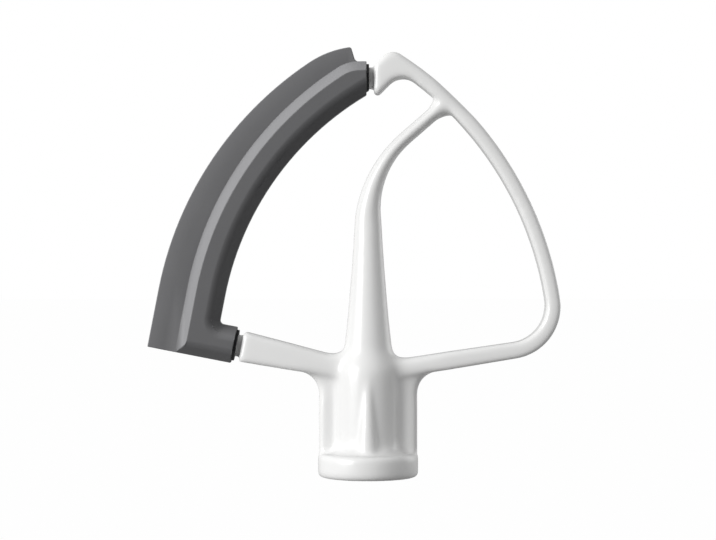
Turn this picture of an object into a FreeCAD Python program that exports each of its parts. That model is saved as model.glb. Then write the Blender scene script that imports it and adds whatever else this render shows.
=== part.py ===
"""Flat beater for a tilt-head stand mixer, with a soft wiping edge.

Millimetres and degrees. +Z runs up the drive axis and the flat of the beater lies in the XZ plane.
The origin is on the drive axis at the mouth of the bore, in the face that the beater stands on.
"""
import FreeCAD
import Part
import Sketcher
import math
import os

from FreeCAD import Placement, Rotation, Vector

SIZES = {
    # Collar at the foot of the hub
    "collar_radius": 16.0,
    "collar_height": 7.5,
    "collar_foot_round": 1.6,
    "collar_top_round": 1.2,
    # Fluted hub: a round core with a fin on each side
    "core_radius": 10.4,
    "core_height": 34.5,
    "core_foot_round": 4.0,
    "shoulder_height": 6.0,
    "shoulder_round": 4.0,
    "shaft_foot_round": 6.0,
    "fin_span": 31.4,
    "fin_depth": 6.0,
    "fin_round": 1.8,
    "flute_round": 3.0,
    "gusset_round": 7.2,
    "gusset_cover": 1.2,
    # Swelling over the pin channel, on the front of the core
    "swelling_radius": 4.1,
    "swelling_offset": 8.6,
    "swelling_top": 33.0,
    "swelling_tip_radius": 1.0,
    "swelling_tip_offset": 9.6,
    # Bore for the drive shaft, with the channel that its cross pin slides up and then turns in
    "bore_radius": 6.5,
    "bore_depth": 36.0,
    "channel_width": 5.4,
    "channel_reach": 9.2,
    "channel_top": 30.0,
    "turn_reach": 8.9,
    "turn_angle": 65.0,
    "seat_length": 9.0,
    # Arms, loop and hook, all of one depth
    "limb_depth": 10.0,
    "limb_round": 1.1,
    "arm_root_height": 30.1,
    "arm_root_thickness": 6.1,
    "arm_lower_angle": 9.45,
    "right_upper_angle": 8.27,
    "left_upper_angle": 14.52,
    "loop_reach": 62.4,
    "loop_radius": 113.0,
    "loop_width": 4.4,
    "corner_outer_round": 16.8,
    "corner_inner_round": 12.1,
    "hook_step": 1.4,
    "hook_flank_angle": 42.7,
    "hook_flank_length": 7.58,
    "hook_peak_round": 4.2,
    "hook_heel_drop": 1.5,
    "hook_heel_angle": 45.0,
    "hook_heel_round": 1.2,
    "hook_arch_round": 6.0,
    "end_face_round": 0.8,
    # Webs that carry the arms up the sides of the shaft
    "web_foot_width": 14.8,
    "web_top_width": 8.4,
    "web_top_height": 52.0,
    "web_round": 5.0,
    # Tapered shaft, bent over at the top into the strut
    "shaft_foot_radius": 7.8,
    "shaft_middle_radius": 5.65,
    "shaft_top_radius": 4.25,
    "shaft_bend_height": 82.0,
    "strut_bend_radius": 35.0,
    "strut_bend_angle": 49.0,
    "strut_width": 4.4,
    "strut_depth": 8.8,
    "strut_flare": 3.8,
    # Soft edge: a sleeve with sloped flanks, and a fin that wipes the bowl
    "arch_radius": 96.1,
    "sleeve_width": 12.3,
    "sleeve_depth": 13.0,
    "flank_run": 3.3,
    "flank_depth": 5.1,
    "sleeve_end_x": -0.5,
    "sleeve_foot_height": 122.0,
    "sleeve_end_height": 10.8,
    "sleeve_bend_radius": 13.0,
    "stub_root_x": -47.45,
    "stub_root_height": 43.05,
    "stub_length": 4.75,
    "stub_angle": 11.0,
    "stub_height": 11.7,
    "stub_round": 1.3,
    "wiper_reach": 4.7,
    "wiper_shift_x": 4.6,
    "wiper_shift_z": 0.9,
    "wiper_tip_radius": 30.7,
    "wiper_tip_length": 14.85,
    "wiper_setback": 3.55,
    "wiper_end_tilt": 16.7,
    "wiper_tip_round": 0.9,
    "wiper_root_round": 1.6,
    "wiper_root_bite": 0.1,
    "wiper_root_depth": 2.8,
    "wiper_lip_depth": 1.4,
    "wiper_taper_run": 5.0,
    # Stiff carrier inside the sleeve, and the tenons that it is moulded on
    "skin": 0.9,
    "rim_length": 0.8,
    "neck_gap": 2.4,
    "tenon_height": 7.0,
    "tenon_depth": 5.0,
    "tenon_round": 2.2,
    "tenon_grip": 9.5,
    "tenon_tip_height": 5.4,
}
# How near two places are to be taken as one
CLOSE = 0.01
# Most of a wall that the rounds along its two faces may take, each
ROUND_SHARE = 0.45
# How many steps the strut's bend and its straight are drawn in
BEND_STEPS = 6
STRAIGHT_STEPS = 4
# The strut's flare, in shares of its spread: where it starts, where it swells and how wide it is there
FLARE_START = 1.2
FLARE_SWELL = 0.4
FLARE_SWELL_SPREAD = 0.25

doc = FreeCAD.newDocument("flat_beater")
sheet = doc.addObject("Spreadsheet::Sheet", "Sizes")
for row, (alias, number) in enumerate(SIZES.items(), start=1):
    sheet.set("A%d" % row, alias)
    sheet.set("B%d" % row, str(number))
    sheet.setAlias("B%d" % row, alias)
doc.recompute()


def size(alias):
    """One driving dimension, read from the sheet."""
    return float(sheet.get(alias))


def flat(x, y):
    """A point of a sketch."""
    return Vector(x, y, 0)


def heading(degrees):
    """Unit vector of a sketch at an angle from its first axis."""
    turn = math.radians(degrees)
    return flat(math.cos(turn), math.sin(turn))


def meet_line(start, way, other, other_way):
    """Where two lines of a sketch cross."""
    gap = other - start
    cross = way.x * other_way.y - way.y * other_way.x
    return start + way * ((gap.x * other_way.y - gap.y * other_way.x) / cross)


def meet_circle(start, way, centre, radius):
    """Where a line that sets out from a start leaves a circle."""
    gap = start - centre
    along = gap.dot(way)
    return start + way * (math.sqrt(along * along - gap.dot(gap) + radius * radius) - along)


def arc_centre(start, end, radius):
    """Centre of an arc that runs anticlockwise from one point to another."""
    half = (end - start) * 0.5
    across = flat(-half.y, half.x) * (1 / half.Length)
    return start + half + across * math.sqrt(radius ** 2 - half.Length ** 2)


def line(start, end):
    """A straight stretch of an outline: its curve, and which of its ends comes first and last."""
    return Part.LineSegment(start, end), 1, 2


def arc(centre, start, end, turn):
    """A round stretch of an outline about a centre: turn is 1 anticlockwise and -1 clockwise."""
    first = math.atan2(start.y - centre.y, start.x - centre.x)
    last = math.atan2(end.y - centre.y, end.x - centre.x)
    circle = Part.Circle(centre, Vector(0, 0, 1), (start - centre).Length)
    if turn > 0:
        return Part.ArcOfCircle(circle, first, last), 1, 2
    return Part.ArcOfCircle(circle, last, first), 2, 1


def polygon(corners):
    """Straight stretches through the corners of a closed outline."""
    return [line(start, end) for start, end in zip(corners, corners[1:] + corners[:1])]


def new_sketch(body, name, role, stretches, offset=Placement()):
    """A closed outline on one of the body's origin planes, its stretches in order, end to end."""
    sketch = body.newObject("Sketcher::SketchObject", name)
    plane = [item for item in body.Origin.OriginFeatures if item.Role == role][0]
    sketch.AttachmentSupport = [(plane, "")]
    sketch.MapMode = "FlatFace"
    sketch.AttachmentOffset = offset
    curves = [sketch.addGeometry(curve, False) for curve, _, _ in stretches]
    for place, curve in enumerate(curves):
        following = (place + 1) % len(curves)
        ends = (curve, stretches[place][2], curves[following], stretches[following][1])
        sketch.addConstraint(Sketcher.Constraint("Coincident", *ends))
    return sketch


def tie_radius(sketch, curve, formula):
    """Bind the radius of one curve of a sketch to the sheet."""
    tie = sketch.addConstraint(Sketcher.Constraint("Radius", curve, sketch.Geometry[curve].Radius))
    sketch.setExpression("Constraints[%d]" % tie, formula)


def pad(body, sketch, formula, side="Symmetric"):
    """Pad a sketch by a length from the sheet."""
    feature = body.newObject("PartDesign::Pad", sketch.Name + "_pad")
    feature.Profile = sketch
    feature.SideType = side
    feature.setExpression("Length", formula)
    doc.recompute()


def edge_names(shape, wanted):
    """Names of the edges of a shape that pass a test."""
    return ["Edge%d" % number for number, edge in enumerate(shape.Edges, start=1) if wanted(edge)]


def fillet(body, name, wanted, formula):
    """Round those edges of a body that pass a test."""
    base = body.Tip
    feature = body.newObject("PartDesign::Fillet", name)
    feature.Base = (base, edge_names(base.Shape, wanted))
    feature.setExpression("Radius", formula)
    doc.recompute()


def stack(body, name, levels):
    """Join outlines drawn at several depths with straight sides, from the front one to the back one."""
    layers = []
    for number, (depth, stretches) in enumerate(levels):
        place = Placement(Vector(0, 0, -depth), Rotation())
        layers.append(new_sketch(body, "%s_%d" % (name, number), "XZ_Plane", stretches, place))
    loft = body.newObject("PartDesign::AdditiveLoft", name)
    loft.Profile = layers[0]
    loft.Sections = layers[1:]
    loft.Ruled = True
    doc.recompute()


def turn_about(body, sketch, axis, angle, backwards=False):
    """Turn an outline about one of its own lines by an angle from the sheet."""
    feature = body.newObject("PartDesign::Revolution", sketch.Name + "_turned")
    feature.Profile = sketch
    feature.ReferenceAxis = (sketch, [axis])
    feature.Reversed = backwards
    feature.setExpression("Angle", angle)
    doc.recompute()


def across_at(spot):
    """Test for an edge that runs along Y through a point of an outline in the XZ plane."""
    def wanted(edge):
        ends = [vertex.Point for vertex in edge.Vertexes]
        return len(ends) == 2 and all(math.hypot(end.x - spot.x, end.z - spot.y) < CLOSE for end in ends)
    return wanted


def on_faces(half_depth):
    """Test for an edge of the front or back face of a limb."""
    def wanted(edge):
        return all(abs(abs(vertex.Point.y) - half_depth) < CLOSE for vertex in edge.Vertexes)
    return wanted


def ring_at(radius, height):
    """Test for a circular edge about the drive axis."""
    def wanted(edge):
        curve = edge.Curve
        if not isinstance(curve, Part.Circle):
            return False
        return abs(curve.Radius - radius) < CLOSE and abs(curve.Center.z - height) < CLOSE
    return wanted


# Places that more than one form takes its lines from
sleeve_foot = flat(size("sleeve_end_x"), size("sleeve_foot_height"))
sleeve_top = size("sleeve_foot_height") + size("sleeve_end_height")
stub_root = flat(size("stub_root_x"), size("stub_root_height"))
stub_way = heading(-size("stub_angle"))
stub_up = heading(90 - size("stub_angle"))
stub_end = stub_root + stub_way * size("stub_length")
edge_centre = arc_centre(sleeve_foot, stub_root, size("arch_radius"))
sleeve_outer_radius = size("arch_radius") + size("sleeve_width")
sleeve_middle_radius = size("arch_radius") + size("sleeve_width") / 2
arm_end = stub_end + stub_way * size("neck_gap")
arm_foot = flat(0, size("arm_root_height"))
arm_crest = flat(0, size("arm_root_height") + size("arm_root_thickness"))
lower_right = heading(size("arm_lower_angle"))
lower_left = heading(180 - size("arm_lower_angle"))
hook_face_x = size("sleeve_end_x") + size("neck_gap")
face_high = flat(hook_face_x, sleeve_top - size("hook_step"))
face_low = flat(hook_face_x, size("sleeve_foot_height") - size("hook_heel_drop"))
peak = face_high + heading(size("hook_flank_angle")) * size("hook_flank_length")
corner_outer = arm_foot + lower_right * (size("loop_reach") / lower_right.x)
loop_centre = arc_centre(corner_outer, peak, size("loop_radius"))
loop_inner_radius = size("loop_radius") - size("loop_width")


def make_hub():
    """Collar, core and tapered shaft turned about the axis, with the fins and the swelling on them."""
    body = doc.addObject("PartDesign::Body", "hub")
    shaft_foot = flat(size("shaft_foot_radius"), size("core_height") + size("shoulder_height"))
    shaft_top = flat(size("shaft_top_radius"), size("shaft_bend_height"))
    shaft_middle = flat(size("shaft_middle_radius"), (shaft_foot.y + shaft_top.y) / 2)
    corners = [
        shaft_top,
        flat(0, shaft_top.y),
        flat(0, 0),
        flat(size("collar_radius"), 0),
        flat(size("collar_radius"), size("collar_height")),
        flat(size("core_radius"), size("collar_height")),
        flat(size("core_radius"), size("core_height")),
        shaft_foot,
    ]
    hollow = Part.Circle(shaft_foot, shaft_middle, shaft_top).Center
    stretches = polygon(corners)[:-1] + [arc(hollow, shaft_foot, shaft_top, -1)]
    profile = new_sketch(body, "hub_profile", "XZ_Plane", stretches)
    turn_about(body, profile, "V_Axis", "360")
    rounds = {
        "collar_foot_round": ring_at(size("collar_radius"), 0),
        "collar_top_round": ring_at(size("collar_radius"), size("collar_height")),
        "core_foot_round": ring_at(size("core_radius"), size("collar_height")),
        "shoulder_round": ring_at(size("core_radius"), size("core_height")),
        "shaft_foot_round": ring_at(shaft_foot.x, shaft_foot.y),
    }
    for alias, wanted in rounds.items():
        fillet(body, alias, wanted, "Sizes." + alias)
    rise = Placement(Vector(0, 0, size("collar_height") / 2), Rotation())
    section = new_sketch(body, "flute_section", "XY_Plane", flute_outline(), rise)
    fin_top = "Sizes.arm_root_height + Sizes.fin_span / 2 * tan(Sizes.arm_lower_angle * 1 deg)"
    pad(body, section, fin_top + " - Sizes.collar_height / 2", "One side")
    for side in (1, -1):
        add_gusset(body, side)
    add_swelling(body)
    return body


def flute_outline():
    """Level section of the hub: a round core, hollow flutes and a rounded fin on each side."""
    hollow = size("flute_round")
    half = size("fin_depth") / 2
    corner = size("fin_round")
    tip = size("fin_span") / 2
    core = size("core_radius")
    reach = math.sqrt((core + hollow) ** 2 - (half + hollow) ** 2)
    touch = flat(reach, half + hollow) * (core / (core + hollow))
    stretches = []
    for turn in (1, -1):
        tip_low = flat(tip, corner - half) * turn
        tip_high = flat(tip, half - corner) * turn
        fin_outer = flat(tip - corner, half) * turn
        fin_inner = flat(reach, half) * turn
        core_near = touch * turn
        core_far = flat(-touch.x, touch.y) * turn
        far_inner = flat(-reach, half) * turn
        far_outer = flat(corner - tip, half) * turn
        far_tip = flat(-tip, half - corner) * turn
        stretches += [
            line(tip_low, tip_high),
            arc(flat(tip - corner, half - corner) * turn, tip_high, fin_outer, 1),
            line(fin_outer, fin_inner),
            arc(flat(reach, half + hollow) * turn, fin_inner, core_near, -1),
            arc(flat(0, 0), core_near, core_far, 1),
            arc(flat(-reach, half + hollow) * turn, core_far, far_inner, -1),
            line(far_inner, far_outer),
            arc(flat(corner - tip, half - corner) * turn, far_outer, far_tip, 1),
        ]
    return stretches


def add_swelling(body):
    """Round swelling over the pin channel, which tapers into the core all the way up."""
    levels = [
        (size("collar_height") / 2, size("swelling_offset"), size("swelling_radius")),
        (size("swelling_top"), size("swelling_tip_offset"), size("swelling_tip_radius")),
    ]
    rings = []
    for number, (level, offset, radius) in enumerate(levels):
        place = Placement(Vector(0, -offset, level), Rotation())
        rings.append(new_sketch(body, "swelling_ring_%d" % number, "XY_Plane", oval(radius, radius), place))
    swelling = body.newObject("PartDesign::AdditiveLoft", "swelling")
    swelling.Profile = rings[0]
    swelling.Sections = rings[1:]
    swelling.Ruled = True
    doc.recompute()


def add_gusset(body, side):
    """Upper end of one fin, swept out in a hollow round under its arm: side is 1 right, -1 left."""
    tip = size("fin_span") / 2
    half = size("fin_depth") / 2
    corner = size("fin_round")
    hollow = size("gusset_round")
    angle = math.radians(size("arm_lower_angle"))
    level = size("arm_root_height") + (tip + hollow) * math.tan(angle) - hollow / math.cos(angle)
    inner = tip - size("arm_root_thickness") + size("gusset_cover")
    stretches = [
        line(flat(side * inner, -half), flat(side * (tip - corner), -half)),
        arc(flat(side * (tip - corner), corner - half), flat(side * (tip - corner), -half),
            flat(side * tip, corner - half), side),
        line(flat(side * tip, corner - half), flat(side * tip, half - corner)),
        arc(flat(side * (tip - corner), half - corner), flat(side * tip, half - corner),
            flat(side * (tip - corner), half), side),
        line(flat(side * (tip - corner), half), flat(side * inner, half)),
        line(flat(side * inner, half), flat(side * inner, -half)),
    ]
    name = "gusset_right" if side > 0 else "gusset_left"
    section = new_sketch(body, name, "XY_Plane", stretches, Placement(Vector(0, 0, level), Rotation()))
    axis_x = side * (tip + hollow)
    section.addGeometry(Part.LineSegment(flat(axis_x, -half), flat(axis_x, half)), True)
    turn_about(body, section, "Axis0", "90 - Sizes.arm_lower_angle", side < 0)


def make_limbs():
    """Left arm, right arm, loop and hook in one flat outline, with every edge rounded."""
    body = doc.addObject("PartDesign::Body", "limbs")
    arm_top_right = heading(size("right_upper_angle"))
    arm_top_left = heading(180 - size("left_upper_angle"))
    heel = heading(size("hook_heel_angle"))
    web_foot = size("web_foot_width") / 2
    web_top = flat(size("web_top_width") / 2, size("web_top_height"))
    end_low = meet_line(arm_foot, lower_left, arm_end, stub_up)
    end_high = meet_line(arm_crest, arm_top_left, arm_end, stub_up)
    corner_inner = meet_circle(arm_crest, arm_top_right, loop_centre, loop_inner_radius)
    arch = meet_circle(face_low, heel, loop_centre, loop_inner_radius)
    root_right = meet_line(arm_crest, arm_top_right, flat(web_foot, 0), flat(0, 1))
    root_left = meet_line(arm_crest, arm_top_left, flat(-web_foot, 0), flat(0, 1))
    web_top_left = flat(-web_top.x, web_top.y)
    stretches = [
        line(end_low, arm_foot),
        line(arm_foot, corner_outer),
        arc(loop_centre, corner_outer, peak, 1),
        line(peak, face_high),
        line(face_high, face_low),
        line(face_low, arch),
        arc(loop_centre, arch, corner_inner, -1),
        line(corner_inner, root_right),
        line(root_right, web_top),
        line(web_top, web_top_left),
        line(web_top_left, root_left),
        line(root_left, end_high),
        line(end_high, end_low),
    ]
    outline = new_sketch(body, "limb_outline", "XZ_Plane", stretches)
    tie_radius(outline, 2, "Sizes.loop_radius")
    tie_radius(outline, 6, "Sizes.loop_radius - Sizes.loop_width")
    pad(body, outline, "Sizes.limb_depth")
    rounds = [
        ("corner_outer_round", [corner_outer]),
        ("corner_inner_round", [corner_inner]),
        ("hook_peak_round", [peak]),
        ("hook_arch_round", [arch]),
        ("hook_heel_round", [face_low]),
        ("web_round", [root_right, root_left]),
        ("end_face_round", [face_high, end_low, end_high]),
    ]
    for alias, spots in rounds:
        for number, spot in enumerate(spots):
            fillet(body, "%s_%d" % (alias, number), across_at(spot), "Sizes." + alias)
    corner = "min(Sizes.limb_round; Sizes.loop_width * %s; Sizes.limb_depth * %s)"
    fillet(body, "limb_round", on_faces(size("limb_depth") / 2), corner % (ROUND_SHARE, ROUND_SHARE))
    return body


def oval(half_width, half_depth):
    """An oval in four quarters, wide along the first axis and deep along the second."""
    corners = [flat(half_width, 0), flat(0, half_depth), flat(-half_width, 0), flat(0, -half_depth)]
    if half_width > half_depth:
        whole = Part.Ellipse(corners[0], corners[1], flat(0, 0))
    elif half_width < half_depth:
        whole = Part.Ellipse(corners[1], corners[2], flat(0, 0))
    else:
        whole = Part.Circle(flat(0, 0), Vector(0, 0, 1), half_width)
    quarters = []
    for start, end in zip(corners, corners[1:] + corners[:1]):
        first = whole.parameter(start)
        last = whole.parameter(end)
        if isinstance(whole, Part.Circle):
            quarters.append((Part.ArcOfCircle(whole, first, last), 1, 2))
        else:
            quarters.append((Part.ArcOfEllipse(whole, first, last), 1, 2))
    return quarters


def make_strut():
    """Top of the shaft, which bends over, flattens into the strut and flares out into the loop."""
    body = doc.addObject("PartDesign::Body", "strut")
    bend_height = size("shaft_bend_height")
    bend_radius = size("strut_bend_radius")
    bend_angle = size("strut_bend_angle")
    start_half = size("shaft_top_radius")
    half = size("strut_width") / 2
    deep = size("strut_depth") / 2
    flare = size("strut_flare")
    stations = []
    for step in range(BEND_STEPS + 1):
        share = step / BEND_STEPS
        turn = math.radians(bend_angle * share)
        spot = flat(bend_radius * (1 - math.cos(turn)), bend_height + bend_radius * math.sin(turn))
        ease = math.sin(share * math.pi / 2)
        stations.append((spot, bend_angle * share, start_half + (half - start_half) * ease,
                         start_half + (deep - start_half) * ease))
    way = heading(90 - bend_angle)
    start = stations[-1][0]
    loop_edge = meet_circle(start, way, loop_centre, loop_inner_radius)
    loop_middle = loop_edge + way * (size("loop_width") / 2)
    for step in range(1, STRAIGHT_STEPS + 1):
        spot = start + (loop_middle - start) * (step / STRAIGHT_STEPS)
        stations.append((spot, bend_angle, half, deep))
    add_loft(body, "strut_loft", stations)
    add_loft(body, "strut_flare", [
        (loop_edge - way * flare * FLARE_START, bend_angle, half, deep),
        (loop_edge - way * flare * FLARE_SWELL, bend_angle, half + flare * FLARE_SWELL_SPREAD, deep),
        (loop_middle, bend_angle, half + flare, deep),
    ])
    return body


def add_loft(body, name, stations):
    """Smooth form through ovals: a station has its place, its lean from upright and two half widths."""
    sections = []
    for number, (spot, lean, half_width, half_depth) in enumerate(stations):
        place = Placement(Vector(spot.x, 0, spot.y), Rotation(Vector(0, 1, 0), lean))
        outline = oval(half_width, half_depth)
        sections.append(new_sketch(body, "%s_%d" % (name, number), "XY_Plane", outline, place))
    loft = body.newObject("PartDesign::AdditiveLoft", name)
    loft.Profile = sections[0]
    loft.Sections = sections[1:]
    doc.recompute()


def make_tenon(name, shoulder, way, up, tip):
    """One tenon: rooted in its limb, straight through the neck, then narrower inside the carrier."""
    body = doc.addObject("PartDesign::Body", name)
    half = up * (size("tenon_height") / 2)
    tip_half = up * (size("tenon_tip_height") / 2)
    root = shoulder + way * size("neck_gap")
    mouth = shoulder - way * size("neck_gap")
    corners = [root + half, mouth + half, tip + tip_half, tip - tip_half, mouth - half, root - half]
    outline = new_sketch(body, name + "_outline", "XZ_Plane", polygon(corners))
    pad(body, outline, "Sizes.tenon_depth")
    corner = "min(Sizes.tenon_round; Sizes.tenon_depth * %s)" % ROUND_SHARE
    fillet(body, name + "_round", on_faces(size("tenon_depth") / 2), corner)
    return body


def make_tenons():
    """The tenon at the end of the left arm, and the one at the hook."""
    low_tip = stub_end - stub_way * size("tenon_grip")
    low = make_tenon("arm_tenon", arm_end, stub_way, stub_up, low_tip)
    tip_x = size("sleeve_end_x") - size("tenon_grip")
    high_tip = meet_circle(flat(tip_x, edge_centre.y), flat(0, 1), edge_centre, sleeve_middle_radius)
    level = size("sleeve_foot_height") + size("sleeve_end_height") / 2
    high = make_tenon("hook_tenon", flat(hook_face_x, level), flat(1, 0), flat(0, 1), high_tip)
    return [low, high]


def bar_outline(inset, past_end):
    """The sleeve's outline, an arch on a straight foot with a stub: moved in by an inset, out at its ends."""
    inner = size("arch_radius") + inset
    outer = sleeve_outer_radius - inset
    half = size("stub_height") / 2 - inset
    top = sleeve_top - inset
    crook_round = size("stub_round") + inset
    bend_round = size("sleeve_bend_radius") - inset
    foot = stub_end + stub_way * past_end
    back = stub_way * -1
    stub_low = foot - stub_up * half
    stub_high = foot + stub_up * half
    inner_straight = edge_centre + back * inner
    outer_straight = edge_centre + back * outer
    crook = meet_line(stub_high, back, inner_straight, stub_up)
    crook_stub = crook + stub_way * crook_round
    crook_arch = crook + stub_up * crook_round
    below = flat(size("sleeve_end_x") + past_end, edge_centre.y)
    arch_end = meet_circle(below, flat(0, 1), edge_centre, inner)
    crown = flat(arch_end.x, top)
    bend_rise = top - bend_round - edge_centre.y
    bend = edge_centre + flat(-math.sqrt((outer - bend_round) ** 2 - bend_rise ** 2), bend_rise)
    bend_arch = edge_centre + (bend - edge_centre) * (outer / (outer - bend_round))
    heel = meet_line(stub_low, back, outer_straight, stub_up)
    return [
        line(stub_low, stub_high),
        line(stub_high, crook_stub),
        arc(crook_stub + stub_up * crook_round, crook_stub, crook_arch, -1),
        line(crook_arch, inner_straight),
        arc(edge_centre, inner_straight, arch_end, -1),
        line(arch_end, crown),
        line(crown, flat(bend.x, top)),
        arc(bend, flat(bend.x, top), bend_arch, 1),
        arc(edge_centre, bend_arch, outer_straight, 1),
        line(outer_straight, heel),
        line(heel, stub_low),
    ]


def make_bar(name, inset, past_end):
    """The sleeve, or the carrier inside its skin: full at the sides, sloping in to its two faces."""
    body = doc.addObject("PartDesign::Body", name)
    face = size("sleeve_depth") / 2 - inset
    side = size("sleeve_depth") / 2 - size("flank_depth")
    full = bar_outline(inset, past_end)
    narrow = bar_outline(inset + size("flank_run"), past_end)
    stack(body, name + "_layers", [(-face, narrow), (-side, full), (side, full), (face, narrow)])
    return body


def wiper_end():
    """Lines of the fin's upper end: its root, its way up, and the run of the hollow at its root."""
    root = flat(size("sleeve_end_x") - size("wiper_setback"), sleeve_top - size("wiper_root_bite"))
    way = heading(90 + size("wiper_end_tilt"))
    run = size("wiper_root_round") * math.tan(math.radians(90 - size("wiper_end_tilt")) / 2)
    return root, way, run


def wiper_arcs():
    """Centre and radius of the fin's lip, way to where its tip starts to bend, and centre of the bend."""
    centre = edge_centre - flat(size("wiper_shift_x"), size("wiper_shift_z"))
    radius = sleeve_outer_radius + size("wiper_reach")
    end_x = size("sleeve_end_x") - size("wiper_setback")
    tip_way = heading(math.degrees(math.acos((end_x - size("wiper_tip_length") - centre.x) / radius)))
    return centre, radius, tip_way, centre + tip_way * (radius - size("wiper_tip_radius"))


def wiper_outline(inset):
    """The fin's outline with its lip moved in by an inset, and its root in the middle of the sleeve."""
    centre, lip_radius, tip_way, tip_centre = wiper_arcs()
    radius = lip_radius - inset
    stub_low = stub_end - stub_up * (size("stub_height") / 2)
    back = stub_way * -1
    straight_top = centre + heading(180 - size("stub_angle")) * radius
    lip_foot = meet_line(stub_low, back, straight_top, stub_up)
    end_root, _, hollow_run = wiper_end()
    last_x = end_root.x + hollow_run
    root_foot = meet_circle(stub_low, back, edge_centre, sleeve_middle_radius)
    root_end = meet_circle(flat(last_x, edge_centre.y), flat(0, 1), edge_centre, sleeve_middle_radius)
    tip_reach = size("wiper_tip_radius") - inset
    lip_end = meet_circle(flat(last_x, tip_centre.y), flat(0, 1), tip_centre, tip_reach)
    return [
        line(lip_foot, root_foot),
        arc(edge_centre, root_foot, root_end, -1),
        line(root_end, lip_end),
        arc(tip_centre, lip_end, centre + tip_way * radius, 1),
        arc(centre, centre + tip_way * radius, straight_top, 1),
        line(straight_top, lip_foot),
    ]


def wiper_end_space():
    """Outline of the space beside the fin's upper end: hollow at its root and round at its tip."""
    tip_centre = wiper_arcs()[3]
    tip_reach = size("wiper_tip_radius")
    end_root, end_way, hollow_run = wiper_end()
    hollow = size("wiper_root_round")
    hollow_low = end_root + flat(hollow_run, 0)
    hollow_high = end_root + end_way * hollow_run
    corner = size("wiper_tip_round")
    inward = heading(180 + size("wiper_end_tilt"))
    corner_centre = meet_circle(end_root + inward * corner, end_way, tip_centre, tip_reach - corner)
    corner_low = corner_centre - inward * corner
    corner_high = tip_centre + (corner_centre - tip_centre) * (tip_reach / (tip_reach - corner))
    above = flat(0, size("wiper_reach"))
    beside = flat(size("wiper_reach"), 0)
    return [
        line(hollow_low + beside, corner_high + above + beside),
        line(corner_high + above + beside, corner_high + above),
        line(corner_high + above, corner_high),
        arc(corner_centre, corner_high, corner_low, -1),
        line(corner_low, hollow_high),
        arc(hollow_low + flat(0, hollow), hollow_high, hollow_low, 1),
        line(hollow_low, hollow_low + beside),
    ]


def make_wiper():
    """Thin fin along the outside of the sleeve, thinner towards its lip, its upper end cut square."""
    body = doc.addObject("PartDesign::Body", "wiper")
    root = size("wiper_root_depth") / 2
    lip = size("wiper_lip_depth") / 2
    full = wiper_outline(0)
    narrow = wiper_outline(size("wiper_taper_run"))
    stack(body, "wiper_layers", [(-root, narrow), (-lip, full), (lip, full), (root, narrow)])
    cut = body.newObject("PartDesign::Pocket", "wiper_end_cut")
    cut.Profile = new_sketch(body, "wiper_end_space", "XZ_Plane", wiper_end_space())
    cut.SideType = "Symmetric"
    cut.setExpression("Length", "Sizes.sleeve_depth")
    doc.recompute()
    return body


def make_bore():
    """Space for the drive shaft: a plain bore, the pin's channel, its turn and the pin's seat."""
    bore = doc.addObject("Part::Cylinder", "bore")
    bore.setExpression("Radius", "Sizes.bore_radius")
    bore.setExpression("Height", "Sizes.bore_depth")
    channel = doc.addObject("Part::Box", "pin_channel")
    channel.setExpression("Length", "Sizes.channel_width")
    channel.setExpression("Width", "Sizes.channel_reach")
    channel.setExpression("Height", "Sizes.channel_top")
    channel.setExpression("Placement.Base.x", "-Sizes.channel_width / 2")
    channel.setExpression("Placement.Base.y", "-Sizes.channel_reach")
    turn = doc.addObject("Part::Cylinder", "pin_turn")
    turn.Placement.Rotation = Rotation(Vector(0, 0, 1), -90)
    turn.setExpression("Radius", "Sizes.turn_reach")
    turn.setExpression("Height", "Sizes.channel_width")
    turn.setExpression("Angle", "Sizes.turn_angle")
    turn.setExpression("Placement.Base.z", "Sizes.channel_top - Sizes.channel_width")
    seat = doc.addObject("Part::Cylinder", "pin_seat")
    seat_angle = 2 * math.degrees(math.asin(size("channel_width") / (2 * size("turn_reach"))))
    seat.Angle = seat_angle
    seat.Placement.Rotation = Rotation(Vector(0, 0, 1), size("turn_angle") - seat_angle - 90)
    seat.setExpression("Radius", "Sizes.turn_reach")
    seat.setExpression("Height", "Sizes.seat_length")
    seat.setExpression("Placement.Base.z", "Sizes.channel_top - Sizes.seat_length")
    return join("bore_space", [bore, channel, turn, seat])


def join(name, pieces):
    """Several forms as one."""
    whole = doc.addObject("Part::MultiFuse", name)
    whole.Shapes = pieces
    whole.Refine = True
    doc.recompute()
    return whole


def less(name, base, tool):
    """One form with another taken out of it."""
    rest = doc.addObject("Part::Cut", name)
    rest.Label = name
    rest.Base = base
    rest.Tool = tool
    rest.Refine = True
    doc.recompute()
    return rest


tenons = join("tenons", make_tenons())
casting = join("casting", [make_hub(), make_limbs(), make_strut(), tenons])
carrier = make_bar("carrier", size("skin"), size("rim_length"))
soft_form = join("soft_form", [make_bar("sleeve", 0, 0), make_wiper()])
nodes = [
    less("beater_frame", casting, make_bore()),
    less("edge_carrier", carrier, tenons),
    less("flex_edge", soft_form, carrier),
]

failed = [item.Name for item in doc.Objects if {"Invalid", "Error"} & set(item.State)]
if failed:
    raise RuntimeError("not built: " + ", ".join(failed))
for node in nodes:
    if node.Shape.isNull() or not node.Shape.isValid() or len(node.Shape.Solids) != 1:
        raise RuntimeError(node.Label + " is not one sound solid")
os.makedirs("parts", exist_ok=True)
for node in nodes:
    node.Shape.exportStep("parts/%s.step" % node.Label)
    print(node.Label, round(node.Shape.Volume, 1), "cubic mm")
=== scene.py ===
"""Looks of a flat beater for a stand mixer: coated casting, soft wiping edge, stiff carrier and stage.

Metres, in the frame of the solids: +Z up the drive axis, the flat of the beater in the XZ plane.
"""
import math

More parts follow.
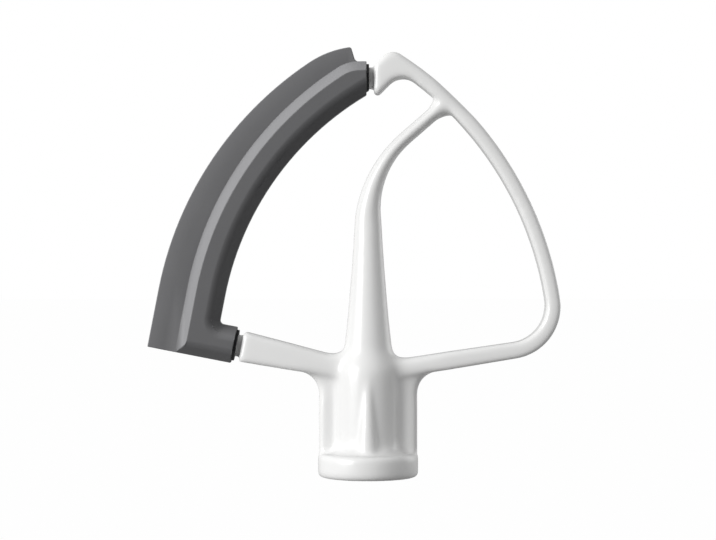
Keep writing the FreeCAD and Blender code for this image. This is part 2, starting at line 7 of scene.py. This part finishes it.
import bmesh
import bpy
import numpy
from bpy.props import FloatProperty, FloatVectorProperty, IntProperty, PointerProperty
from bpy.types import Operator, Panel, PropertyGroup
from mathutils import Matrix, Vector


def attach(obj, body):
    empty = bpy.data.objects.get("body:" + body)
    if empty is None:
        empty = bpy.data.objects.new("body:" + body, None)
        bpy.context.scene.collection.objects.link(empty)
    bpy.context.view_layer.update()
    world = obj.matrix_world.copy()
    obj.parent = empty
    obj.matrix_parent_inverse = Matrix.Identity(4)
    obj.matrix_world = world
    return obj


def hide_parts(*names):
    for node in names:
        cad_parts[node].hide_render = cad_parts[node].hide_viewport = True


bl_info = {
    "name": "Flat beater",
    "version": (1, 0, 0),
    "blender": (4, 5, 0),
    "location": "View3D > Sidebar > Beater",
    "description": "Builds the visible pieces of a flat beater with a soft edge, and a stage",
    "category": "Object",
}

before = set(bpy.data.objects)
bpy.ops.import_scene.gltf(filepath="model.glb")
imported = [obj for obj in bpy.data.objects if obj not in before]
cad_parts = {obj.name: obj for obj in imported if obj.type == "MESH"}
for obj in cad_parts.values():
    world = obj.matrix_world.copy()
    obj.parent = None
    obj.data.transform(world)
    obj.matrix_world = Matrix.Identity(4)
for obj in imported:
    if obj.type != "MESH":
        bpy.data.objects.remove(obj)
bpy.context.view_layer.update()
MM = 0.001
# Points of a solid's surface nearer than this are one point
MERGE_DISTANCE = 0.002 * MM
# Faces of a moulding narrower than this are closed up
SLIVER_WIDTH = 0.06 * MM
# Faces that turn by less than this belong to one flat
FLAT_ANGLE = math.radians(0.5)
# Edges that turn by more than this are seen as edges
SHARP_ANGLE = math.radians(28)
ROUND_SEGMENTS = 5
# How far shadows on the casting are kept off its own small faces
SHADOW_LIFT = 1
SHADOW_EASE = 0.1
# Height of the grain of every finish
GRAIN_HEIGHT = 0.02 * MM
# Numbers of a colour mix's sockets: its two colours going in, and the mixed colour coming out
MIX_FIRST = 6
MIX_SECOND = 7
MIX_RESULT = 2
SENSOR_WIDTH = 36
FLOOR_SIDES = 96
FLOOR_SHADE = 0.25
# How much of the floor is plain white where it is seen: the rest shows the shadow
FLOOR_WHITE = 0.99
# Places in metres and widths of the square lamps, which all face the middle of the beater
LAMP_AIM = Vector((0, 0, 70)) * MM
KEY_PLACE = Vector((-0.85, -0.64, 0.32))
KEY_WIDTH = 0.6
FILL_PLACE = Vector((0.85, 0.45, 0.3))
FILL_WIDTH = 0.6
SIDE_PLACE = Vector((-1.0, 0, 0.25))
TOP_PLACE = Vector((-0.35, -0.05, 1.05))
SIDE_WIDTH = 0.5


class CastingSettings(PropertyGroup):
    """Sizes and colours of the coated casting."""
    grain: FloatProperty(
        name="Mesh grain", description="Size of the faces that the casting's skin is made of",
        default=0.45 * MM, min=0.1 * MM, unit="LENGTH", subtype="DISTANCE")
    coat_passes: IntProperty(
        name="Coat passes",
        description="How many times the whole skin is evened out, as a thick coat does",
        default=6, min=0)
    shade_passes: IntProperty(
        name="Shade passes", description="How many times the skin's shading is evened out",
        default=10, min=0)
    blend_passes: IntProperty(
        name="Blend passes", description="How many times the cast blends between limbs are evened out",
        default=120, min=0)
    colour: FloatVectorProperty(
        name="Coat colour", description="Colour of the white coat",
        default=(0.78, 0.78, 0.775), min=0, max=1, subtype="COLOR")
    roughness: FloatProperty(
        name="Coat roughness", description="How blurred the coat's reflections are",
        default=0.25, min=0, max=1, subtype="FACTOR")


class EdgeSettings(PropertyGroup):
    """Sizes and colours of the soft edge and of the carrier inside it."""
    edge_round: FloatProperty(
        name="Soft edge round", description="Width of the crisp edges of the soft moulding",
        default=0.3 * MM, min=0, unit="LENGTH", subtype="DISTANCE")
    sleeve_round: FloatProperty(
        name="Sleeve round", description="Width of the soft edges inside the sleeve and at its foot",
        default=1.6 * MM, min=0.01 * MM, unit="LENGTH", subtype="DISTANCE")
    carrier_round: FloatProperty(
        name="Carrier round", description="Width of the rounded edges of the stiff carrier",
        default=0.2 * MM, min=0, unit="LENGTH", subtype="DISTANCE")
    edge_colour: FloatVectorProperty(
        name="Soft edge colour", description="Colour of the grey soft moulding",
        default=(0.104, 0.104, 0.107), min=0, max=1, subtype="COLOR")
    edge_roughness: FloatProperty(
        name="Soft edge roughness", description="How blurred the soft moulding's reflections are",
        default=0.4, min=0, max=1, subtype="FACTOR")
    carrier_colour: FloatVectorProperty(
        name="Carrier colour", description="Colour of the black carrier",
        default=(0.008, 0.008, 0.009), min=0, max=1, subtype="COLOR")
    carrier_roughness: FloatProperty(
        name="Carrier roughness", description="How blurred the carrier's reflections are",
        default=0.5, min=0, max=1, subtype="FACTOR")


class StageSettings(PropertyGroup):
    """Camera, floor and lamps."""
    camera_place: FloatVectorProperty(
        name="Camera place", description="Where the camera stands, level with the middle of the beater",
        default=(-3.23 * MM, -640 * MM, 66.1 * MM), unit="LENGTH", subtype="TRANSLATION")
    lens: FloatProperty(
        name="Lens", description="Focal length in millimetres on a sensor 36 mm wide",
        default=100.56, min=1)
    floor_radius: FloatProperty(
        name="Floor radius", description="Reach of the floor round the beater",
        default=4, min=0.1, unit="LENGTH", subtype="DISTANCE")
    ambient: FloatProperty(
        name="Ambient light", description="Strength of the even light from all round",
        default=0.6, min=0)
    key_power: FloatProperty(
        name="Key lamp", description="Power of the main lamp at the left, in watts",
        default=11.3, min=0)
    fill_power: FloatProperty(
        name="Fill lamp", description="Power of the weak lamp behind the right side, in watts",
        default=1.8, min=0)
    side_power: FloatProperty(
        name="Side lamps",
        description="Power of each of the two lamps beside and over the soft edge, in watts",
        default=15.0, min=0)


def solid_copy(node):
    """A merged copy of the surface of one of the solids."""
    skin = bmesh.new()
    skin.from_mesh(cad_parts[node].data)
    bmesh.ops.remove_doubles(skin, verts=skin.verts, dist=MERGE_DISTANCE)
    return skin


def new_piece(name, skin):
    """An object of the scene from a finished bmesh."""
    mesh = bpy.data.meshes.new(name)
    skin.to_mesh(mesh)
    skin.free()
    mesh.shade_smooth()
    piece = bpy.data.objects.new(name, mesh)
    bpy.context.scene.collection.objects.link(piece)
    return piece


def bake_modifiers(piece):
    """Turn a piece's modifiers into its mesh."""
    graph = bpy.context.evaluated_depsgraph_get()
    shaped = bpy.data.meshes.new_from_object(piece.evaluated_get(graph))
    piece.modifiers.clear()
    old = piece.data
    piece.data = shaped
    shaped.name = piece.name
    bpy.data.meshes.remove(old)
    if not shaped.polygons:
        raise RuntimeError(piece.name + " came out empty")


def even_normals(piece):
    """Shade the flats of a moulding evenly up to its rounded edges."""
    weighted = piece.modifiers.new("Even shading", "WEIGHTED_NORMAL")
    weighted.keep_sharp = True
    bake_modifiers(piece)


def stand_for(piece, node, material):
    """Show a piece in place of a solid, with its finish."""
    piece.data.materials.clear()
    piece.data.materials.append(material)
    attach(piece, "root")
    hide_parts(node)


def add_node(tree, kind, place, **inputs):
    """A shader node with some of its inputs set by name."""
    node = tree.nodes.new(kind)
    node.location = place
    for name, value in inputs.items():
        node.inputs[name.replace("_", " ")].default_value = value
    return node


def grain_group():
    """Shared effect: even moulded grain as a height, and soft mottling as a shade round 1."""
    name = "Moulded grain"
    if name in bpy.data.node_groups:
        return bpy.data.node_groups[name]
    group = bpy.data.node_groups.new(name, "ShaderNodeTree")
    for title, default in (("Grain Scale", 1000.0), ("Mottle Scale", 60.0), ("Mottle Depth", 0.05)):
        socket = group.interface.new_socket(title, in_out="INPUT", socket_type="NodeSocketFloat")
        socket.default_value = default
    for title in ("Height", "Shade"):
        group.interface.new_socket(title, in_out="OUTPUT", socket_type="NodeSocketFloat")
    links = group.links
    given = add_node(group, "NodeGroupInput", (-900, 0))
    put_out = add_node(group, "NodeGroupOutput", (500, 0))
    place = add_node(group, "ShaderNodeTexCoord", (-900, 300))
    grain = add_node(group, "ShaderNodeTexNoise", (-600, 250), Detail=3.0, Roughness=0.55)
    mottle = add_node(group, "ShaderNodeTexNoise", (-600, -100), Detail=4.0, Roughness=0.6)
    centred = add_node(group, "ShaderNodeMath", (-350, -100))
    centred.operation = "SUBTRACT"
    centred.inputs[1].default_value = 0.5
    scaled = add_node(group, "ShaderNodeMath", (-150, -100))
    scaled.operation = "MULTIPLY"
    shade = add_node(group, "ShaderNodeMath", (50, -100))
    shade.operation = "ADD"
    shade.inputs[1].default_value = 1.0
    links.new(place.outputs["Object"], grain.inputs["Vector"])
    links.new(place.outputs["Object"], mottle.inputs["Vector"])
    links.new(given.outputs["Grain Scale"], grain.inputs["Scale"])
    links.new(given.outputs["Mottle Scale"], mottle.inputs["Scale"])
    links.new(mottle.outputs["Fac"], centred.inputs[0])
    links.new(centred.outputs[0], scaled.inputs[0])
    links.new(given.outputs["Mottle Depth"], scaled.inputs[1])
    links.new(scaled.outputs[0], shade.inputs[0])
    links.new(grain.outputs["Fac"], put_out.inputs["Height"])
    links.new(shade.outputs[0], put_out.inputs["Shade"])
    return group


def moulded_material(name, colour, roughness, specular, grain, mottle, depth, bump):
    """A finish with grain and mottling: their scales, the mottling's depth and the grain's strength."""
    material = bpy.data.materials.new(name)
    material.use_nodes = True
    tree = material.node_tree
    shader = tree.nodes["Principled BSDF"]
    shader.inputs["Specular IOR Level"].default_value = specular
    effect = add_node(tree, "ShaderNodeGroup", (-900, 0))
    effect.node_tree = grain_group()
    effect.inputs["Grain Scale"].default_value = grain
    effect.inputs["Mottle Scale"].default_value = mottle
    effect.inputs["Mottle Depth"].default_value = depth
    tint = add_node(tree, "ShaderNodeMix", (-400, 200))
    tint.data_type = "RGBA"
    tint.blend_type = "MULTIPLY"
    tint.inputs[0].default_value = 1.0
    tint.inputs[MIX_FIRST].default_value = (*colour, 1)
    dull = add_node(tree, "ShaderNodeMath", (-400, -50))
    dull.operation = "MULTIPLY"
    dull.inputs[1].default_value = roughness
    relief = add_node(tree, "ShaderNodeBump", (-400, -250), Strength=bump, Distance=GRAIN_HEIGHT)
    links = tree.links
    links.new(effect.outputs["Shade"], tint.inputs[MIX_SECOND])
    links.new(tint.outputs[MIX_RESULT], shader.inputs["Base Color"])
    links.new(effect.outputs["Shade"], dull.inputs[0])
    links.new(dull.outputs[0], shader.inputs["Roughness"])
    links.new(effect.outputs["Height"], relief.inputs["Height"])
    links.new(relief.outputs["Normal"], shader.inputs["Normal"])
    return material


# Middles and reaches of the cast blends: hub into arms and shaft, and strut into loop
BLENDS = (
    (Vector((-11, 0, 37)) * MM, 16 * MM),
    (Vector((11, 0, 37)) * MM, 16 * MM),
    (Vector((0, -8, 38)) * MM, 13 * MM),
    (Vector((0, 8, 38)) * MM, 13 * MM),
    (Vector((0, 0, 46)) * MM, 16 * MM),
    (Vector((30, 0, 122)) * MM, 11 * MM),
)


def blend_weight(place):
    """How much of a cast blend there is at a place, from 0 to 1."""
    most = 0.0
    for centre, reach in BLENDS:
        away = (place - centre).length / reach
        if away < 1:
            most = max(most, 1 - away * away)
    return most


def even_shading(mesh, passes):
    """Give each point of a skin the mean normal of its neighbourhood."""
    normals = numpy.empty(3 * len(mesh.vertices), dtype=numpy.float32)
    mesh.vertex_normals.foreach_get("vector", normals)
    normals = normals.reshape(-1, 3)
    ends = numpy.empty(2 * len(mesh.edges), dtype=numpy.int32)
    mesh.edges.foreach_get("vertices", ends)
    first, second = ends.reshape(-1, 2).T
    for _ in range(passes):
        total = normals.copy()
        numpy.add.at(total, first, normals[second])
        numpy.add.at(total, second, normals[first])
        normals = total / numpy.linalg.norm(total, axis=1, keepdims=True)
    mesh.normals_split_custom_set_from_vertices(normals)


class BEATER_OT_casting(Operator):
    """Make the coated casting: hub, arms, loop, hook, shaft and strut in one skin with soft blends"""
    bl_idname = "beater.casting"
    bl_label = "Coated casting"

    def execute(self, context):
        settings = context.scene.beater_casting
        true_surface = new_piece("casting_surface", solid_copy("beater_frame"))
        piece = new_piece("coated_casting", solid_copy("beater_frame"))
        skin = piece.modifiers.new("Skin", "REMESH")
        skin.mode = "VOXEL"
        skin.voxel_size = settings.grain
        skin.use_smooth_shade = True
        bake_modifiers(piece)
        blends = piece.vertex_groups.new(name="cast_blends")
        for vertex in piece.data.vertices:
            weight = blend_weight(vertex.co)
            if weight > 0:
                blends.add([vertex.index], weight, "REPLACE")
        soften = piece.modifiers.new("Blends", "SMOOTH")
        soften.iterations = settings.blend_passes
        soften.vertex_group = blends.name
        fit = piece.modifiers.new("Fit", "SHRINKWRAP")
        fit.target = true_surface
        fit.wrap_method = "NEAREST_SURFACEPOINT"
        fit.vertex_group = blends.name
        fit.invert_vertex_group = True
        even = piece.modifiers.new("Coat", "SMOOTH")
        even.iterations = settings.coat_passes
        bake_modifiers(piece)
        bpy.data.objects.remove(true_surface)
        even_shading(piece.data, settings.shade_passes)
        piece.shadow_terminator_geometry_offset = SHADOW_LIFT
        piece.shadow_terminator_shading_offset = SHADOW_EASE
        coat = moulded_material("White coat", settings.colour, settings.roughness, specular=0.5,
                                grain=500, mottle=45, depth=0.03, bump=0.02)
        stand_for(piece, "beater_frame", coat)
        return {"FINISHED"}


def flat_faces(node):
    """A copy of the surface of one of the solids, with one face for each of its flats."""
    skin = solid_copy(node)
    bmesh.ops.remove_doubles(skin, verts=skin.verts, dist=SLIVER_WIDTH)
    bmesh.ops.dissolve_degenerate(skin, edges=skin.edges, dist=SLIVER_WIDTH)
    bmesh.ops.dissolve_limit(skin, angle_limit=FLAT_ANGLE, verts=skin.verts, edges=skin.edges)
    return skin


def is_ridge(edge):
    """Whether an edge is an outer one, sharp enough to be seen."""
    return edge.is_manifold and edge.is_convex and edge.calc_face_angle() > SHARP_ANGLE


def round_edges(piece, width, shares):
    """Round some edges of a moulding: each edge's number goes with its share of the full width."""
    skin = bmesh.new()
    skin.from_mesh(piece.data)
    share = skin.edges.layers.float.new("bevel_weight_edge")
    for edge in skin.edges:
        if edge.is_manifold and not edge.is_convex:
            edge.smooth = edge.calc_face_angle() < SHARP_ANGLE
        edge[share] = shares.get(edge.index, 0)
    skin.to_mesh(piece.data)
    skin.free()
    rounds = piece.modifiers.new("Rounds", "BEVEL")
    rounds.limit_method = "WEIGHT"
    rounds.width = width
    rounds.segments = ROUND_SEGMENTS
    rounds.use_clamp_overlap = False
    bake_modifiers(piece)


# Lines of the sleeve: the centre of its arch, its middle, and the way up across its stub
ARCH_CENTRE = Vector((48.58, 0, 39.38)) * MM
SLEEVE_MIDDLE = 102.2 * MM
STUB_TILT = math.radians(11)
STUB_UP = Vector((math.sin(STUB_TILT), 0, math.cos(STUB_TILT)))
# Edges deeper than this lie on the sleeve's broad faces, and lower than this on its foot
FACE_DEPTH = 6.4 * MM
FOOT_RISE = 4.5 * MM
# Flanks look this much to the front or back, broad faces more and sides less
LEAST_SLOPE = 0.2
BROAD_FACING = 0.99
# The foot's flanks look down, and the step beside the fin does not
FOOT_FACING = -0.5


class BEATER_OT_soft_edge(Operator):
    """Make the grey soft moulding: sleeve with sloped flanks, and the fin that wipes the bowl"""
    bl_idname = "beater.soft_edge"
    bl_label = "Soft edge"

    def execute(self, context):
        settings = context.scene.beater_edge
        skin = flat_faces("flex_edge")
        foot_level = min(vertex.co.dot(STUB_UP) for vertex in skin.verts)

        def is_soft(face):
            middle = face.calc_center_median()
            across = middle - ARCH_CENTRE
            inside = math.hypot(across.x, across.z) < SLEEVE_MIDDLE
            low = middle.dot(STUB_UP) - foot_level < FOOT_RISE
            at_foot = low and face.normal.dot(STUB_UP) < FOOT_FACING
            return LEAST_SLOPE < abs(face.normal.y) < BROAD_FACING and (inside or at_foot)

        def on_broad_face(edge):
            return min(abs(end.co.y) for end in edge.verts) > FACE_DEPTH

        soft = set()
        for face in skin.faces:
            if is_soft(face):
                soft.update(edge for edge in face.edges if on_broad_face(edge))
        skin.edges.index_update()
        crisp_share = settings.edge_round / settings.sleeve_round
        shares = {}
        for edge in skin.edges:
            if is_ridge(edge):
                shares[edge.index] = 1 if edge in soft else crisp_share
        piece = new_piece("soft_edge", skin)
        round_edges(piece, settings.sleeve_round, shares)
        even_normals(piece)
        rubber = moulded_material("Grey rubber", settings.edge_colour, settings.edge_roughness,
                                  specular=0.04, grain=2600, mottle=70, depth=0.10, bump=0.25)
        stand_for(piece, "flex_edge", rubber)
        return {"FINISHED"}


class BEATER_OT_carrier(Operator):
    """Make the black carrier, whose rims show at both ends of the soft edge"""
    bl_idname = "beater.carrier"
    bl_label = "Edge carrier"

    def execute(self, context):
        settings = context.scene.beater_edge
        skin = flat_faces("edge_carrier")
        skin.edges.index_update()
        shares = {edge.index: 1 for edge in skin.edges if is_ridge(edge)}
        piece = new_piece("rim_carrier", skin)
        round_edges(piece, settings.carrier_round, shares)
        even_normals(piece)
        nylon = moulded_material("Black nylon", settings.carrier_colour, settings.carrier_roughness,
                                 specular=0.1, grain=1800, mottle=90, depth=0.15, bump=0.2)
        stand_for(piece, "edge_carrier", nylon)
        return {"FINISHED"}


def seen_rays(tree, place):
    """A value that is 1 on rays from the camera, from gloss and through glass, and 0 on others."""
    path = add_node(tree, "ShaderNodeLightPath", place)
    first = add_node(tree, "ShaderNodeMath", (place[0] + 200, place[1]))
    first.operation = "MAXIMUM"
    both = add_node(tree, "ShaderNodeMath", (place[0] + 400, place[1]))
    both.operation = "MAXIMUM"
    tree.links.new(path.outputs["Is Camera Ray"], first.inputs[0])
    tree.links.new(path.outputs["Is Glossy Ray"], first.inputs[1])
    tree.links.new(first.outputs[0], both.inputs[0])
    tree.links.new(path.outputs["Is Transmission Ray"], both.inputs[1])
    return both.outputs[0]


def floor_material():
    """Pale floor that is white to the eye and keeps a light shadow."""
    material = bpy.data.materials.new("Pale floor")
    material.use_nodes = True
    tree = material.node_tree
    tree.nodes.clear()
    out = add_node(tree, "ShaderNodeOutputMaterial", (600, 0))
    dull_colour = (FLOOR_SHADE, FLOOR_SHADE, FLOOR_SHADE, 1)
    plain = add_node(tree, "ShaderNodeBsdfDiffuse", (0, 150), Color=dull_colour)
    white = add_node(tree, "ShaderNodeEmission", (0, -100), Color=(1, 1, 1, 1), Strength=1.0)
    share = add_node(tree, "ShaderNodeMath", (200, 300))
    share.operation = "MULTIPLY"
    share.inputs[1].default_value = FLOOR_WHITE
    mixed = add_node(tree, "ShaderNodeMixShader", (400, 0))
    tree.links.new(seen_rays(tree, (-500, 300)), share.inputs[0])
    tree.links.new(share.outputs[0], mixed.inputs["Fac"])
    tree.links.new(plain.outputs[0], mixed.inputs[1])
    tree.links.new(white.outputs[0], mixed.inputs[2])
    tree.links.new(mixed.outputs[0], out.inputs["Surface"])
    return material


def light_world(ambient):
    """Even light from all round, and plain white where it is seen."""
    world = bpy.data.worlds.new("Studio")
    bpy.context.scene.world = world
    world.use_nodes = True
    tree = world.node_tree
    tree.nodes.clear()
    out = add_node(tree, "ShaderNodeOutputWorld", (600, 0))
    dim = add_node(tree, "ShaderNodeBackground", (0, 150), Color=(1, 1, 1, 1), Strength=ambient)
    white = add_node(tree, "ShaderNodeBackground", (0, -100), Color=(1, 1, 1, 1), Strength=1.0)
    mixed = add_node(tree, "ShaderNodeMixShader", (400, 0))
    tree.links.new(seen_rays(tree, (-500, 300)), mixed.inputs["Fac"])
    tree.links.new(dim.outputs[0], mixed.inputs[1])
    tree.links.new(white.outputs[0], mixed.inputs[2])
    tree.links.new(mixed.outputs[0], out.inputs["Surface"])


def add_lamp(name, place, width, power):
    """A square lamp that faces the middle of the beater."""
    lamp = bpy.data.lights.new(name, "AREA")
    lamp.shape = "SQUARE"
    lamp.size = width
    lamp.energy = power
    holder = bpy.data.objects.new(name, lamp)
    holder.location = place
    holder.rotation_euler = (LAMP_AIM - place).to_track_quat("-Z", "Y").to_euler()
    bpy.context.scene.collection.objects.link(holder)
    return holder


def light_only(lamp, name):
    """Let a lamp light one piece alone."""
    lit = bpy.data.collections.new(lamp.name + " lights")
    lit.objects.link(bpy.data.objects[name])
    lamp.light_linking.receiver_collection = lit


class BEATER_OT_stage(Operator):
    """Set up the camera, the pale floor and the lamps"""
    bl_idname = "beater.stage"
    bl_label = "Stage"

    def execute(self, context):
        settings = context.scene.beater_stage
        scene = context.scene
        scene.view_settings.view_transform = "Standard"
        camera = bpy.data.cameras.new("Camera")
        camera.sensor_fit = "HORIZONTAL"
        camera.sensor_width = SENSOR_WIDTH
        camera.lens = settings.lens
        holder = bpy.data.objects.new("Camera", camera)
        holder.location = settings.camera_place
        holder.rotation_euler = (math.radians(90), 0, 0)
        scene.collection.objects.link(holder)
        scene.camera = holder
        disc = bmesh.new()
        bmesh.ops.create_circle(
            disc, cap_ends=True, segments=FLOOR_SIDES, radius=settings.floor_radius)
        floor = new_piece("floor", disc)
        floor.data.materials.append(floor_material())
        light_world(settings.ambient)
        add_lamp("Key lamp", KEY_PLACE, KEY_WIDTH, settings.key_power)
        fill = add_lamp("Fill lamp", FILL_PLACE, FILL_WIDTH, settings.fill_power)
        side = add_lamp("Side lamp", SIDE_PLACE, SIDE_WIDTH, settings.side_power)
        top = add_lamp("Top lamp", TOP_PLACE, SIDE_WIDTH, settings.side_power)
        light_only(fill, "coated_casting")
        light_only(side, "soft_edge")
        light_only(top, "soft_edge")
        return {"FINISHED"}


class BEATER_PT_panel(Panel):
    """Buttons for the pieces of the beater and its stage"""
    bl_idname = "BEATER_PT_panel"
    bl_label = "Flat beater"
    bl_space_type = "VIEW_3D"
    bl_region_type = "UI"
    bl_category = "Beater"

    def draw(self, context):
        for operator in OPERATORS:
            self.layout.operator(operator.bl_idname)
        for name in SETTINGS:
            group = getattr(context.scene, name)
            box = self.layout.box()
            for title in group.bl_rna.properties.keys():
                if title not in ("rna_type", "name"):
                    box.prop(group, title)


SETTINGS = {
    "beater_casting": CastingSettings,
    "beater_edge": EdgeSettings,
    "beater_stage": StageSettings,
}
OPERATORS = (BEATER_OT_casting, BEATER_OT_soft_edge, BEATER_OT_carrier, BEATER_OT_stage)


def register():
    """Make the settings, operators and panel known."""
    for name, group in SETTINGS.items():
        bpy.utils.register_class(group)
        setattr(bpy.types.Scene, name, PointerProperty(type=group))
    for item in (*OPERATORS, BEATER_PT_panel):
        bpy.utils.register_class(item)


def unregister():
    """Undo what register did."""
    for item in (BEATER_PT_panel, *reversed(OPERATORS)):
        bpy.utils.unregister_class(item)
    for name, group in SETTINGS.items():
        delattr(bpy.types.Scene, name)
        bpy.utils.unregister_class(group)


def main():
    """Build everything in order."""
    register()
    bpy.ops.beater.casting()
    bpy.ops.beater.soft_edge()
    bpy.ops.beater.carrier()
    bpy.ops.beater.stage()


if __name__ == "__main__":
    main()
